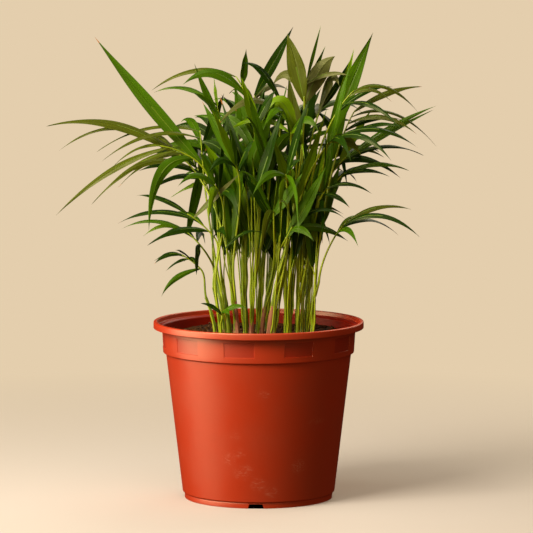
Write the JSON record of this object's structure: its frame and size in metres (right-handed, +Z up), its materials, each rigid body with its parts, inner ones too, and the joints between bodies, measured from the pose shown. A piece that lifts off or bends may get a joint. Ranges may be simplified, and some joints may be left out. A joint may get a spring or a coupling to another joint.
{
  "type": "potted areca palm",
  "caption": "Young areca palm, a clump of slender stems with arching fronds of narrow leaflets, in a round tapered nursery pot of terracotta-coloured plastic with a collar and a lipped rim.",
  "frame": {"origin": "middle of the flat pad under the pot, on the surface that the pot stands on", "axes": "+Z up along the pot's axis, +X to the right and +Y to the back as seen from the front of the plant"},
  "size_m": [0.415, 0.2612, 0.502],
  "materials": {
    "pot": "terracotta orange-red moulded plastic, semi-matte, lightly scuffed",
    "soil": "dark brown, loose moist potting soil",
    "stem": "smooth yellow-green sheaths, some brown-pink at the foot",
    "leaf": "deep green, fine lengthwise veins, soft waxy sheen, a few dry tips"
  },
  "bodies": {
    "root": {"pot": "pot", "soil": "soil", "stem_01": "stem", "stem_02": "stem", "stem_03": "stem", "stem_04": "stem", "stem_05": "stem", "stem_06": "stem", "stem_07": "stem", "stem_08": "stem", "stem_09": "stem", "stem_10": "stem", "stem_11": "stem", "stem_12": "stem", "stem_13": "stem", "stem_14": "stem", "stem_15": "stem", "stem_16": "stem", "stem_17": "stem", "stem_18": "stem", "stem_19": "stem", "stem_20": "stem", "frond_01": "leaf", "frond_02": "leaf", "frond_03": "leaf", "frond_04": "leaf", "frond_05": "leaf", "frond_06": "leaf", "frond_07": "leaf", "frond_08": "leaf", "frond_09": "leaf", "frond_10": "leaf", "frond_11": "leaf", "frond_12": "leaf", "frond_13": "leaf", "frond_14": "leaf", "frond_15": "leaf", "frond_16": "leaf", "frond_17": "leaf", "frond_18": "leaf", "frond_19": "leaf", "frond_20": "leaf", "frond_21": "leaf", "frond_22": "leaf", "frond_23": "leaf", "frond_24": "leaf", "frond_25": "leaf", "frond_26": "leaf", "frond_27": "leaf", "frond_28": "leaf", "frond_29": "leaf", "frond_30": "leaf", "frond_31": "leaf", "frond_32": "leaf", "frond_33": "leaf", "frond_34": "leaf", "frond_35": "leaf", "frond_36": "leaf", "frond_37": "leaf", "frond_38": "leaf"}
  },
  "joints": []
}
